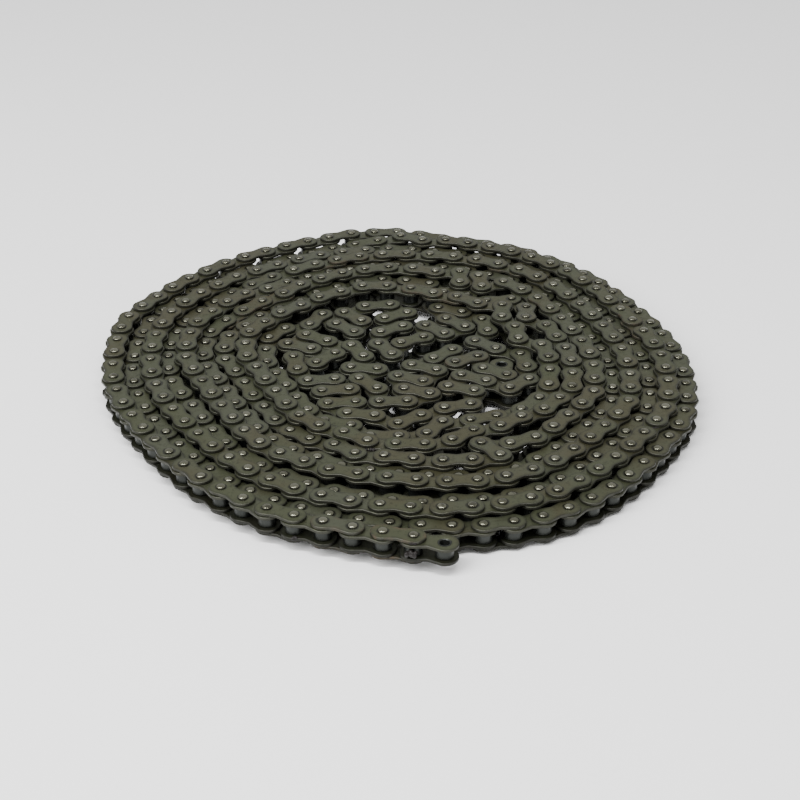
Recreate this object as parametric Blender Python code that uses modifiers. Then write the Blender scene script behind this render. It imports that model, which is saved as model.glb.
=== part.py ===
"""A heap of roller chain: one long length of single-strand chain, wound up flat.

The chain lies on its side plates, so every pin stands upright. Neighbouring turns lie
alternately on the floor and a nesting step higher, with their side plates overlapping.
Metres, +Z up. The origin is on the floor under the middle of the heap.
"""

import math

import bmesh
import bpy
import numpy as np

# Chain, as sold: half-inch pitch, narrow
PITCH = 0.0127
PLATE = 0.0014
PLATE_GAP = 0.0001
ROLLER_SPACE = 0.0049
PIN_STUB = 0.0011
PIN_RADIUS = 0.001985
PIN_CHAMFER = 0.0003
BUSH_RADIUS = 0.0028
BUSH_BORE = 0.00215
ROLLER_RADIUS = 0.003885
ROLLER_BORE = 0.0030
ROLLER_LENGTH = 0.0047
INNER_PLATE_END = 0.0060
OUTER_PLATE_END = 0.0052
PLATE_WAIST = 0.0038
BUSH_HOLE = 0.0030
PIN_HOLE = 0.0021

# How high a turn lies on its neighbours when it isn't on the floor
NESTING_STEP = 0.0031

# Heights in a chain that lies on the floor, from the pin's lower end up
LOWER_OUTER = PIN_STUB
LOWER_INNER = LOWER_OUTER + PLATE + PLATE_GAP
ROLLERS_FROM = LOWER_INNER + PLATE
ROLLERS_TO = ROLLERS_FROM + ROLLER_SPACE
UPPER_OUTER = ROLLERS_TO + PLATE + PLATE_GAP
UPPER_OUTER_TOP = UPPER_OUTER + PLATE
PIN_LENGTH = UPPER_OUTER_TOP + PIN_STUB

# Widths of the joined-up turns, half of each, at a pin and halfway between two
TURN_PLATE_PIN = 0.0050
TURN_PLATE_WAIST = 0.0037
TURN_CORE = 0.0027
LOWER_BAND = 0.0047
CLEAR = 0.0003
SEAM = 0.00012

# Pins from the free end inwards that lie at the heap's rim, with no turn outside them
RIM_PINS = 67

# Facets
HOLE_SIDES = 16
END_POINTS = 7

# The heap's middle in the route's own millimetres
MIDDLE = (0.8, 5.8)

# Route of the chain: (pin, x, y) in millimetres, from the outer free end inwards.
# Between two listed pins the chain runs in a smooth curve; kinks and the folded
# middle are listed pin by pin.
ROUTE = [
    (0, 21, -147), (3, -15, -138), (6, -51, -126), (9, -83, -100), (12, -105, -69),
    (15, -124, -36), (18, -133, 2), (21, -135, 40), (24, -121, 74), (27, -99, 104),
    (30, -70, 129), (33, -36, 147), (36, 0, 159), (39, 37, 150), (42, 72, 135), (45, 99, 107),
    (48, 118, 74), (51, 133, 38), (54, 137, 0), (57, 133, -38), (60, 115, -73), (63, 92, -103),
    (66, 62, -126), (69, 25, -133), (72, -13, -128), (75, -50, -115), (78, -79, -90),
    (81, -101, -58), (84, -120, -24), (87, -126, 15), (90, -121, 54), (93, -101, 89),
    (96, -76, 115), (99, -44, 134), (102, -9, 146), (104, 14, 145), (107, 51, 137),
    (110, 82, 115), (113, 104, 83), (116, 118, 48), (119, 128, 10), (122, 127, -28),
    (125, 110, -63), (128, 87, -93), (131, 57, -116), (134, 20, -124), (137, -18, -119),
    (140, -53, -103), (143, -79, -75), (146, -102, -44), (149, -116, -7), (152, -118, 31),
    (155, -105, 69), (158, -81, 98), (161, -51, 120), (164, -16, 135), (167, 21, 136),
    (170, 57, 124), (173, 84, 97), (176, 103, 64), (179, 116, 28), (182, 120, -10),
    (185, 110, -47), (188, 88, -78), (191, 61, -105), (194, 24, -113), (197, -13, -110),
    (200, -47, -93), (203, -74, -67), (206, -92, -33), (209, -110, 1), (212, -108, 39),
    (215, -92, 74), (218, -64, 100), (221, -32, 120), (224, 6, 127), (227, 43, 120),
    (230, 74, 98), (233, 93, 65), (236, 106, 29), (239, 110, -9), (242, 101, -46),
    (245, 78, -77), (248, 49, -99), (251, 12, -102), (254, -26, -95), (257, -58, -70),
    (260, -78, -35), (263, -96, 1), (266, -101, 38), (269, -85, 68), (272, -57, 92),
    (275, -25, 113), (278, 13, 118), (281, 49, 106), (284, 76, 80), (287, 92, 46),
    (290, 103, 9), (293, 99, -29), (296, 79, -61), (299, 52, -88), (302, 17, -94),
    (305, -21, -86), (308, -54, -64), (311, -73, -30), (314, -89, 5), (317, -91, 43),
    (320, -67, 71), (323, -38, 96), (326, -3, 110), (328, 21, 104), (329, 34, 104),
    (330, 33, 91), (331, 44, 99), (332, 45, 87), (333, 56, 92), (334, 65, 83), (335, 72, 72),
    (338, 87, 37), (341, 94, 0), (344, 86, -36), (347, 62, -66), (348, 51, -72), (349, 38, -71),
    (350, 45, -82), (351, 33, -85), (352, 21, -87), (355, -18, -80), (358, -48, -57),
    (361, -67, -23), (364, -82, 11), (367, -76, 47), (370, -51, 75), (373, -20, 96),
    (376, 17, 95), (379, 51, 73), (382, 65, 49), (385, 83, 17), (388, 84, -19), (391, 57, -48),
    (394, 25, -68), (397, -12, -69), (400, -43, -48), (403, -60, -14), (406, -72, 22),
    (409, -57, 56), (412, -28, 80), (415, 7, 84), (417, 33, 75), (418, 43, 68), (419, 57, 65),
    (420, 56, 53), (421, 61, 42), (424, 74, 8), (427, 67, -28), (429, 47, -42), (431, 22, -48),
    (433, 1, -60), (435, -20, -51), (436, -33, -48), (439, -50, -15), (442, -62, 21),
    (444, -54, 44), (445, -42, 49), (446, -36, 60), (447, -29, 49), (448, -20, 41),
    (449, -17, 53), (450, -26, 62), (451, -15, 69), (452, -3, 71), (453, 6, 62), (454, -5, 56),
    (455, 4, 47), (456, -7, 41), (457, -8, 28), (458, -1, 17), (459, 3, 29), (460, 14, 35),
    (461, 15, 48), (462, 25, 39), (463, 35, 46), (464, 26, 55), (465, 22, 68), (466, 34, 63),
    (467, 44, 54), (468, 46, 42), (469, 39, 31), (470, 49, 23), (471, 61, 17), (472, 63, 5),
    (473, 63, -8), (474, 54, -16), (475, 43, -10), (476, 31, -4), (477, 25, -15),
    (478, 37, -19), (479, 35, -31), (480, 23, -35), (481, 12, -42), (482, 2, -49),
    (483, -9, -42), (484, -21, -40), (485, -31, -32), (486, -18, -30), (487, -21, -18),
    (488, -33, -19), (489, -28, -8), (490, -41, -9), (491, -46, 2), (492, -49, 15),
    (493, -37, 9), (494, -29, 18), (495, -41, 23), (496, -52, 28), (497, -44, 38),
    (498, -33, 31), (499, -22, 26), (500, -15, 15), (501, -21, 4), (502, -8, 2), (503, -17, -8),
    (504, -8, -17), (505, -7, -29), (506, 5, -28), (507, 16, -22), (508, 4, -17), (509, 2, -5),
    (510, 13, -10), (511, 20, 1), (512, 8, 6), (513, 19, 13), (514, 28, 22), (515, 29, 9),
    (516, 40, 15), (517, 42, 3), (518, 53, -4), (519, 51, 9),
]

# Stretches of the chain, each at one height: (first pin, raised, how it is joined up)
STRETCHES = [
    (2, True, "rim"),
    (36, False, "rim"),
    (101, True, "turn"),
    (164, False, "turn"),
    (217, True, "turn"),
    (272, False, "turn"),
    (319, True, "links"),
    (356, False, "turn"),
    (380, True, "links"),
    (427, False, "turn"),
    (444, False, "links"),
]
NAMES = ["first", "second", "third", "fourth", "fifth", "sixth", "seventh", "eighth", "ninth",
         "tenth", "folded_middle"]

# Settling of the route
PULLED_ROUNDS = 180
FREE_ROUNDS = 120
PULL = 0.12
PUSH = 0.25
PUSH_EVERY = 3
NEAR = 1.5
SAME_HEIGHT_APART = (0.87, 0.79, 0.71)
NESTED_APART = (0.72, 0.645, 0.575)

STEEL = (0.33, 0.33, 0.28)


def clear_scene():
    for thing in list(bpy.data.objects):
        bpy.data.objects.remove(thing, do_unlink=True)


def smooth_route(numbers, guides):
    """A smooth curve through the guides, read at every pin number."""
    slopes = np.gradient(guides, numbers, axis=0)
    pins = np.arange(numbers[-1] + 1)
    before = np.clip(np.searchsorted(numbers, pins, side="right") - 1, 0, len(numbers) - 2)
    span = (numbers[before + 1] - numbers[before])[:, None]
    t = (pins - numbers[before])[:, None] / span
    return (
        (2 * t**3 - 3 * t**2 + 1) * guides[before]
        + (t**3 - 2 * t**2 + t) * span * slopes[before]
        + (3 * t**2 - 2 * t**3) * guides[before + 1]
        + (t**3 - t**2) * span * slopes[before + 1]
    )


def raised_flags(count):
    flags = np.zeros(count, int)
    for first, raised, _ in STRETCHES:
        flags[first:] = raised
    flags[:2] = STRETCHES[0][1]
    return flags


def near_pairs(points, along, middle, raised):
    """Pairs of places on different links that lie close, with the distance each pair keeps."""
    apart = points[:, None] - points[None]
    close = np.hypot(apart[..., 0], apart[..., 1]) < NEAR
    first, second = np.nonzero(np.triu(close & (np.abs(along[:, None] - along[None]) > 1.6)))
    kind = middle[first] + middle[second]
    same = raised[first] == raised[second]
    keep = np.where(same, np.array(SAME_HEIGHT_APART)[kind], np.array(NESTED_APART)[kind])
    return first, second, keep


def chain_pins():
    """Each pin's place in plan, in metres: one pitch apart, near the route, turns kept apart."""
    numbers = np.array([stop[0] for stop in ROUTE])
    guides = (np.array([stop[1:] for stop in ROUTE]) - MIDDLE) * 0.001 / PITCH
    pins = smooth_route(numbers, guides)
    count = len(pins)
    raised = raised_flags(count)
    along = np.concatenate([np.arange(count), np.arange(count - 1) + 0.5])
    middle = np.concatenate([np.zeros(count, int), np.ones(count - 1, int)])
    raised = np.concatenate([raised, raised[:-1]])
    points = np.concatenate([pins, (pins[1:] + pins[:-1]) / 2])
    first, second, keep = near_pairs(points, along, middle, raised)
    for turn in range(PULLED_ROUNDS + FREE_ROUNDS):
        if turn < PULLED_ROUNDS:
            pins[numbers] += PULL * (guides - pins[numbers])
        if turn % PUSH_EVERY == 0:
            points = np.concatenate([pins, (pins[1:] + pins[:-1]) / 2])
            apart = points[first] - points[second]
            distance = np.hypot(apart[:, 0], apart[:, 1])[:, None]
            push = PUSH * apart / distance * np.maximum(keep[:, None] - distance, 0)
            moves = np.zeros_like(points)
            np.add.at(moves, first, push)
            np.add.at(moves, second, -push)
            pins += moves[:count]
            pins[1:] += moves[count:] / 2
            pins[:-1] += moves[count:] / 2
        for start in (0, 1):
            pairs = (count - start) // 2
            ends = pins[start : start + 2 * pairs].reshape(pairs, 2, 2)
            link = ends[:, 1] - ends[:, 0]
            length = np.hypot(link[:, 0], link[:, 1])[:, None]
            slack = link / length * (length - 1) / 2
            ends[:, 0] += slack
            ends[:, 1] -= slack
            pins[start : start + 2 * pairs] = ends.reshape(-1, 2)
    return pins * PITCH


def steel(name, shade=1.0):
    made = bpy.data.materials.new(name)
    made.use_nodes = True
    shader = made.node_tree.nodes["Principled BSDF"]
    shader.inputs["Base Color"].default_value = (*(channel * shade for channel in STEEL), 1)
    shader.inputs["Metallic"].default_value = 0.85
    shader.inputs["Roughness"].default_value = 0.42
    return made


def prism(name, outlines, low, high, group, finish=None):
    """A flat piece from a closed outline, or an outline and its holes, between two heights."""
    flat = bpy.data.curves.new(name, "CURVE")
    flat.dimensions = "2D"
    flat.fill_mode = "BOTH"
    flat.extrude = (high - low) / 2
    for outline in outlines:
        spline = flat.splines.new("POLY")
        spline.points.add(len(outline) - 1)
        for point, (x, y) in zip(spline.points, outline):
            point.co = (x, y, 0, 1)
        spline.use_cyclic_u = True
    piece = bpy.data.objects.new(name, flat)
    piece.location.z = (low + high) / 2
    group.objects.link(piece)
    if finish:
        flat.materials.append(finish)
    return piece


def as_mesh(piece):
    """The same piece as a closed mesh, which a Boolean can take."""
    bpy.context.view_layer.update()
    evaluated = piece.evaluated_get(bpy.context.evaluated_depsgraph_get())
    mesh = bpy.data.meshes.new_from_object(evaluated)
    edit = bmesh.new()
    edit.from_mesh(mesh)
    bmesh.ops.remove_doubles(edit, verts=edit.verts, dist=1e-7)
    edit.to_mesh(mesh)
    edit.free()
    name = piece.name
    group = piece.users_collection[0]
    made = bpy.data.objects.new(name, mesh)
    made.matrix_world = piece.matrix_world
    curve = piece.data
    bpy.data.objects.remove(piece)
    bpy.data.curves.remove(curve)
    made.name = name
    group.objects.link(made)
    return made


def join(piece, others):
    """Joins the other pieces to this one; they stay as hidden helpers."""
    bucket = bpy.data.collections.new(piece.name + "_joined")
    for other in others:
        for home in list(other.users_collection):
            home.objects.unlink(other)
        bucket.objects.link(other)
        other.hide_render = True
        other.display_type = "WIRE"
    helpers.children.link(bucket)
    union = piece.modifiers.new("joined", "BOOLEAN")
    union.operation = "UNION"
    union.operand_type = "COLLECTION"
    union.collection = bucket
    return piece


def arc(centre, radius, start, sweep, points):
    angles = [start + sweep * step / (points - 1) for step in range(points)]
    return [
        (centre[0] + radius * math.cos(a), centre[1] + radius * math.sin(a)) for a in angles
    ]


def circle(centre, radius, sides=HOLE_SIDES):
    turn = math.tau * (sides - 1) / sides
    return arc(centre, radius, math.pi / sides, turn, sides)


def link_plate(start, end, end_radius, waist=PLATE_WAIST, points=END_POINTS, wrap=0.8):
    """Outline of a side plate: a round end about each pin and a narrower waist."""
    heading = math.atan2(end[1] - start[1], end[0] - start[0])
    side = heading + math.pi / 2
    middle = ((start[0] + end[0]) / 2, (start[1] + end[1]) / 2)
    sweep = math.pi * wrap
    outline = arc(end, end_radius, heading - sweep / 2, sweep, points)
    outline.append((middle[0] + waist * math.cos(side), middle[1] + waist * math.sin(side)))
    outline += arc(start, end_radius, heading + math.pi - sweep / 2, sweep, points)
    outline.append((middle[0] - waist * math.cos(side), middle[1] - waist * math.sin(side)))
    return outline


def unit(vector):
    return vector / np.hypot(*vector)


def turn_outline(route, at_pin, at_waist, half_links=(True, True), rim=0):
    """Outline of a stretch of chain: wide at each pin and narrow between pins.

    The first places of it, as many as rim says, lie at the heap's rim: there the outer
    side, on the left of the way inwards, reaches as far out as an inner link's plates.
    """
    left = []
    right = []
    last = len(route) - 1
    half_link_at = {0: half_links[0], last: half_links[1]}
    for place, pin in enumerate(route):
        before = route[max(place - 1, 0)]
        after = route[min(place + 1, last)]
        across = unit(after - before)[::-1] * (-1, 1)
        between_pins = half_link_at.get(place, False)
        width = at_waist if between_pins and at_waist else at_pin
        left.append(pin + across * (INNER_PLATE_END if place < rim else width))
        right.append(pin - across * width)
        starts_half = between_pins or half_link_at.get(place + 1, False)
        if place < last and at_waist and not starts_half:
            middle = (pin + after) / 2
            across = unit(after - pin)[::-1] * (-1, 1)
            left.append(middle + across * at_waist)
            right.append(middle - across * at_waist)
    return [tuple(point) for point in left + right[::-1]]


def stretch_route(pins, first, last):
    """The pins from first up to the one before last, with half a link more at each joined end."""
    route = pins[first:last]
    if first > 0:
        route = np.concatenate([[half_way(pins[first], pins[first - 1])], route])
    if last < len(pins):
        route = np.concatenate([route, [half_way(pins[last - 1], pins[last])]])
    return route


def half_way(pin, other):
    """A point just short of the middle of the link from this pin to the other."""
    return pin + unit(other - pin) * (PITCH - CLEAR) / 2


def turned(name, profile, centre, finish, group, sides=HOLE_SIDES):
    """A ring or pin turned about an upright axis: profile is (radius, height) down its outer side."""
    mesh = bpy.data.meshes.new(name)
    edit = bmesh.new()
    points = [edit.verts.new((radius, 0, height)) for radius, height in profile]
    for start, end in zip(points, points[1:]):
        edit.edges.new((start, end))
    if profile[0][0] > 0:
        edit.edges.new((points[-1], points[0]))
    edit.to_mesh(mesh)
    edit.free()
    piece = bpy.data.objects.new(name, mesh)
    piece.location = (centre[0], centre[1], 0)
    mesh.materials.append(finish)
    group.objects.link(piece)
    screw = piece.modifiers.new("turned", "SCREW")
    screw.steps = sides
    screw.render_steps = sides
    screw.use_merge_vertices = True
    screw.merge_threshold = 1e-6
    screw.use_smooth_shade = True
    return piece


def ring(name, outer, inner, low, high, centre, finish, group):
    profile = [(outer, high), (outer, low), (inner, low), (inner, high)]
    return turned(name, profile, centre, finish, group)


def chain_pin(name, base, centre, finish, group):
    low = base
    high = base + PIN_LENGTH
    profile = [
        (0, high),
        (PIN_RADIUS - PIN_CHAMFER, high),
        (PIN_RADIUS, high - PIN_CHAMFER),
        (PIN_RADIUS, low + PIN_CHAMFER),
        (PIN_RADIUS - PIN_CHAMFER, low),
        (0, low),
    ]
    return turned(name, profile, centre, finish, group, sides=12)


def plate_pair(name, start, end, end_radius, hole, lower, upper, finish, group):
    """The lower and the upper side plate of one link, each with its two holes."""
    outline = link_plate(start, end, end_radius, wrap=1.0, points=9)
    holes = [circle(start, hole), circle(end, hole)]
    for side, low in (("lower", lower), ("upper", upper)):
        prism(f"{name}_{side}", [outline, *holes], low, low + PLATE, group, finish)


def free_end(pins, base, group):
    """The outer free end, piece by piece: an inner link, then the outer link that it hinges on."""
    plates = steel("free_end_plates")
    rings = steel("free_end_rollers", 0.9)
    bright = steel("free_end_pins", 1.5)
    plate_pair("end_link_plate", pins[0], pins[1], INNER_PLATE_END, BUSH_HOLE,
               base + LOWER_INNER, base + ROLLERS_TO, plates, group)
    plate_pair("second_link_plate", pins[1], pins[2], OUTER_PLATE_END, PIN_HOLE,
               base + LOWER_OUTER, base + UPPER_OUTER, plates, group)
    roller_low = base + ROLLERS_FROM + (ROLLER_SPACE - ROLLER_LENGTH) / 2
    for place, name in enumerate(("end_link_tip", "end_link_hinge", "third_link")):
        centre = pins[place]
        ring(f"{name}_bush", BUSH_RADIUS, BUSH_BORE, base + LOWER_INNER,
             base + UPPER_OUTER - PLATE_GAP, centre, rings, group)
        ring(f"{name}_roller", ROLLER_RADIUS, ROLLER_BORE, roller_low,
             roller_low + ROLLER_LENGTH, centre, rings, group)
    chain_pin("end_link_pin", base, pins[1], bright, group)
    chain_pin("second_link_pin", base, pins[2], bright, group)


def core(name, route, low, high, group, finish):
    """The pins and rollers of a stretch, joined up as one narrow wall under its upper plates."""
    outline = turn_outline(route, TURN_CORE, None)
    return prism(name, [outline], low, high, group, finish)


def third_link(name, pins, low, group, finish):
    """One side plate of the third link, with a hole for the bush that the hinge pin turns in."""
    outline = link_plate(pins[2], pins[3], INNER_PLATE_END, wrap=1.0, points=9)
    hole = circle(pins[2], BUSH_HOLE)
    return as_mesh(prism(name, [outline, hole], low, low + PLATE - SEAM, group, finish))


def joined_links(name, route, low, high, first_pin, group, finish, half_links):
    """Upper side plates of a kinked stretch, link by link and joined where they cross."""
    pieces = []
    links = len(route) - 1
    for place in range(links):
        outer = (first_pin + place) % 2 == 1
        half = TURN_PLATE_PIN if outer else TURN_PLATE_PIN + CLEAR / 3
        start_half = place == 0 and half_links[0]
        end_half = place == links - 1 and half_links[1]
        if start_half or end_half:
            outline = turn_outline(route[place : place + 2], half, TURN_PLATE_WAIST,
                                   (start_half, end_half))
        else:
            outline = link_plate(route[place], route[place + 1], half, TURN_PLATE_WAIST, 3)
        label = f"{name}_{place}" if place else name
        pieces.append(as_mesh(prism(label, [outline], low, high, group, finish)))
    return join(pieces[0], pieces[1:])


def build_stretch(order, pins, group):
    """One stretch between two height changes: upper side plates over pins and rollers."""
    first, raised, style = STRETCHES[order]
    outermost = order == 0
    innermost = order + 1 == len(STRETCHES)
    last = len(pins) if innermost else STRETCHES[order + 1][0]
    base = NESTING_STEP if raised else 0.0
    name = f"{NAMES[order]}_turn" if not innermost else NAMES[order]
    plates = steel(f"{name}_plates", 1.0 + 0.04 * (order % 3))
    rollers = steel(f"{name}_rollers", 0.7)
    half_links = (not outermost, not innermost)
    route = stretch_route(pins, first, last)
    if outermost:
        route = route[2:]
    plates_low = base + ROLLERS_TO + SEAM / 2
    plates_high = base + UPPER_OUTER_TOP
    if style == "links":
        upper = joined_links(f"{name}_upper_plates", route, plates_low, plates_high, first - 1,
                             group, plates, half_links)
    else:
        outline = turn_outline(route, TURN_PLATE_PIN, TURN_PLATE_WAIST, half_links)
        upper = prism(f"{name}_upper_plates", [outline], plates_low, plates_high, group, plates)
    lower = core(f"{name}_pins_and_rollers", route, base, plates_low - SEAM, group, rollers)
    if style != "rim":
        return
    outline = turn_outline(route, LOWER_BAND, None, rim=RIM_PINS - first)
    band = prism(f"{name}_lower_plates", [outline], base + LOWER_OUTER, base + ROLLERS_FROM,
                 group, plates)
    lower = as_mesh(lower)
    joined = [as_mesh(band)]
    if outermost:
        upper = as_mesh(upper)
        low = base + LOWER_INNER
        joined.append(third_link("third_link_lower", pins, low, group, plates))
        join(upper, [third_link("third_link_upper", pins, plates_low, group, plates)])
    join(lower, joined)


clear_scene()
heap = bpy.data.collections.new("roller_chain_heap")
helpers = bpy.data.collections.new("helpers")
helpers.hide_render = True
bpy.context.scene.collection.children.link(heap)
bpy.context.scene.collection.children.link(helpers)

all_pins = chain_pins()
free_end(all_pins, NESTING_STEP, heap)
for stretch in range(len(STRETCHES)):
    build_stretch(stretch, all_pins, heap)
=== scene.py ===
"""Looks of the heap of roller chain: plates, pins and rollers, their oiled steel, light and camera.

The chain is made link by link along the same route as the solids. Every plate, pin and
roller is placed by a Geometry Nodes tree on a cloud of points, one point for each link or
pin, and the result is made a plain mesh for each body.
"""

import math

import bmesh
import bpy
import numpy as np
from mathutils import Matrix, Vector


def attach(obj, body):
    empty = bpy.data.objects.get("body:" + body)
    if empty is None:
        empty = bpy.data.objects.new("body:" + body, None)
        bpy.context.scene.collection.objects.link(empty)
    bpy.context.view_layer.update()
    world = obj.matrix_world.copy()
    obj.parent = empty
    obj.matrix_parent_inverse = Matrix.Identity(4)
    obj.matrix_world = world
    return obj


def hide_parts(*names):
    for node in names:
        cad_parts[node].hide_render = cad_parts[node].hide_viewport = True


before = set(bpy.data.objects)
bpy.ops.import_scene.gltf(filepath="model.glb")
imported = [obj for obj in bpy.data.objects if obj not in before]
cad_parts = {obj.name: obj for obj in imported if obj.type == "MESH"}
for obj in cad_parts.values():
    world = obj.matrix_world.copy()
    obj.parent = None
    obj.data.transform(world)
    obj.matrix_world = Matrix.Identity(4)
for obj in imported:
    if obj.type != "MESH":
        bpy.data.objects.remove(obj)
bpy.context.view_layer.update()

# Chain, as sold: half-inch pitch, narrow. Metres, as in the solids.
PITCH = 0.0127
PLATE = 0.0014
PLATE_GAP = 0.0001
ROLLER_SPACE = 0.0049
PIN_STUB = 0.0011
PIN_RADIUS = 0.001985
BUSH_RADIUS = 0.0028
BUSH_BORE = 0.00215
ROLLER_RADIUS = 0.003885
ROLLER_BORE = 0.0030
ROLLER_LENGTH = 0.0047
INNER_PLATE_END = 0.0059
OUTER_PLATE_END = 0.0052
INNER_WAIST = 0.0042
OUTER_WAIST = 0.0038
NESTING_STEP = 0.0031

# Heights in a chain that lies on the floor, from the pin's lower end up
LOWER_OUTER = PIN_STUB
LOWER_INNER = LOWER_OUTER + PLATE + PLATE_GAP
ROLLERS_FROM = LOWER_INNER + PLATE
UPPER_INNER = ROLLERS_FROM + ROLLER_SPACE
UPPER_OUTER = UPPER_INNER + PLATE + PLATE_GAP
PIN_LENGTH = UPPER_OUTER + PLATE + PIN_STUB
PIN_SHORTER = 0.0001

# The heap's middle in the route's own millimetres
MIDDLE = (0.8, 5.8)

# Route of the chain: (pin, x, y) in millimetres, from the outer free end inwards
ROUTE = [
    (0, 21, -147), (3, -15, -138), (6, -51, -126), (9, -83, -100), (12, -105, -69),
    (15, -124, -36), (18, -133, 2), (21, -135, 40), (24, -121, 74), (27, -99, 104),
    (30, -70, 129), (33, -36, 147), (36, 0, 159), (39, 37, 150), (42, 72, 135), (45, 99, 107),
    (48, 118, 74), (51, 133, 38), (54, 137, 0), (57, 133, -38), (60, 115, -73), (63, 92, -103),
    (66, 62, -126), (69, 25, -133), (72, -13, -128), (75, -50, -115), (78, -79, -90),
    (81, -101, -58), (84, -120, -24), (87, -126, 15), (90, -121, 54), (93, -101, 89),
    (96, -76, 115), (99, -44, 134), (102, -9, 146), (104, 14, 145), (107, 51, 137),
    (110, 82, 115), (113, 104, 83), (116, 118, 48), (119, 128, 10), (122, 127, -28),
    (125, 110, -63), (128, 87, -93), (131, 57, -116), (134, 20, -124), (137, -18, -119),
    (140, -53, -103), (143, -79, -75), (146, -102, -44), (149, -116, -7), (152, -118, 31),
    (155, -105, 69), (158, -81, 98), (161, -51, 120), (164, -16, 135), (167, 21, 136),
    (170, 57, 124), (173, 84, 97), (176, 103, 64), (179, 116, 28), (182, 120, -10),
    (185, 110, -47), (188, 88, -78), (191, 61, -105), (194, 24, -113), (197, -13, -110),
    (200, -47, -93), (203, -74, -67), (206, -92, -33), (209, -110, 1), (212, -108, 39),
    (215, -92, 74), (218, -64, 100), (221, -32, 120), (224, 6, 127), (227, 43, 120),
    (230, 74, 98), (233, 93, 65), (236, 106, 29), (239, 110, -9), (242, 101, -46),
    (245, 78, -77), (248, 49, -99), (251, 12, -102), (254, -26, -95), (257, -58, -70),
    (260, -78, -35), (263, -96, 1), (266, -101, 38), (269, -85, 68), (272, -57, 92),
    (275, -25, 113), (278, 13, 118), (281, 49, 106), (284, 76, 80), (287, 92, 46),
    (290, 103, 9), (293, 99, -29), (296, 79, -61), (299, 52, -88), (302, 17, -94),
    (305, -21, -86), (308, -54, -64), (311, -73, -30), (314, -89, 5), (317, -91, 43),
    (320, -67, 71), (323, -38, 96), (326, -3, 110), (328, 21, 104), (329, 34, 104),
    (330, 33, 91), (331, 44, 99), (332, 45, 87), (333, 56, 92), (334, 65, 83), (335, 72, 72),
    (338, 87, 37), (341, 94, 0), (344, 86, -36), (347, 62, -66), (348, 51, -72), (349, 38, -71),
    (350, 45, -82), (351, 33, -85), (352, 21, -87), (355, -18, -80), (358, -48, -57),
    (361, -67, -23), (364, -82, 11), (367, -76, 47), (370, -51, 75), (373, -20, 96),
    (376, 17, 95), (379, 51, 73), (382, 65, 49), (385, 83, 17), (388, 84, -19), (391, 57, -48),
    (394, 25, -68), (397, -12, -69), (400, -43, -48), (403, -60, -14), (406, -72, 22),
    (409, -57, 56), (412, -28, 80), (415, 7, 84), (417, 33, 75), (418, 43, 68), (419, 57, 65),
    (420, 56, 53), (421, 61, 42), (424, 74, 8), (427, 67, -28), (429, 47, -42), (431, 22, -48),
    (433, 1, -60), (435, -20, -51), (436, -33, -48), (439, -50, -15), (442, -62, 21),
    (444, -54, 44), (445, -42, 49), (446, -36, 60), (447, -29, 49), (448, -20, 41),
    (449, -17, 53), (450, -26, 62), (451, -15, 69), (452, -3, 71), (453, 6, 62), (454, -5, 56),
    (455, 4, 47), (456, -7, 41), (457, -8, 28), (458, -1, 17), (459, 3, 29), (460, 14, 35),
    (461, 15, 48), (462, 25, 39), (463, 35, 46), (464, 26, 55), (465, 22, 68), (466, 34, 63),
    (467, 44, 54), (468, 46, 42), (469, 39, 31), (470, 49, 23), (471, 61, 17), (472, 63, 5),
    (473, 63, -8), (474, 54, -16), (475, 43, -10), (476, 31, -4), (477, 25, -15),
    (478, 37, -19), (479, 35, -31), (480, 23, -35), (481, 12, -42), (482, 2, -49),
    (483, -9, -42), (484, -21, -40), (485, -31, -32), (486, -18, -30), (487, -21, -18),
    (488, -33, -19), (489, -28, -8), (490, -41, -9), (491, -46, 2), (492, -49, 15),
    (493, -37, 9), (494, -29, 18), (495, -41, 23), (496, -52, 28), (497, -44, 38),
    (498, -33, 31), (499, -22, 26), (500, -15, 15), (501, -21, 4), (502, -8, 2), (503, -17, -8),
    (504, -8, -17), (505, -7, -29), (506, 5, -28), (507, 16, -22), (508, 4, -17), (509, 2, -5),
    (510, 13, -10), (511, 20, 1), (512, 8, 6), (513, 19, 13), (514, 28, 22), (515, 29, 9),
    (516, 40, 15), (517, 42, 3), (518, 53, -4), (519, 51, 9),
]

# Pins at which the solids change height, the outermost stretch being a raised one
HEIGHT_CHANGES = (36, 101, 164, 217, 272, 319, 356, 380, 427)

# Height of the chain along its length: (pin, 1 where it lies on its neighbours, 0 on the floor)
SLOPES = [
    (0, 1), (34, 1), (38, 0), (99, 0), (103, 1), (161, 1), (167, 0), (215, 0), (219, 1),
    (270, 1), (275, 0), (317, 0), (321, 1), (354, 1), (358, 0), (378, 0), (382, 1), (425, 1),
    (429, 0), (519, 0),
]

# Settling of the route, as in the solids
PULLED_ROUNDS = 180
FREE_ROUNDS = 120
PULL = 0.12
PUSH = 0.25
PUSH_EVERY = 3
NEAR = 1.5
SAME_HEIGHT_APART = (0.87, 0.79, 0.71)
NESTED_APART = (0.72, 0.645, 0.575)

# Links and pins of the free end; the third link and everything further in is the heap
END_LINK = 0
SECOND_LINK = 1
THIRD_LINK = 2
END_PIN = 1
SECOND_PIN = 2

# Small differences from link to link, left out at the hinges of the free end, where plates
# pass each other with only a narrow gap
LIFT_SPREAD = 0.00005
LEAN_SPREAD = math.radians(0.35)

# Rust on side plates: link number and how strong
RUSTY_LINKS = {
    1: 1.0, 3: 0.45, 115: 0.6, 116: 0.5, 171: 0.7, 220: 0.7, 221: 0.6, 228: 0.7, 318: 0.8, 319: 0.6,
    320: 0.7, 335: 0.6, 415: 0.7, 416: 0.5, 434: 0.6, 476: 0.4, 515: 0.5,
}

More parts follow.
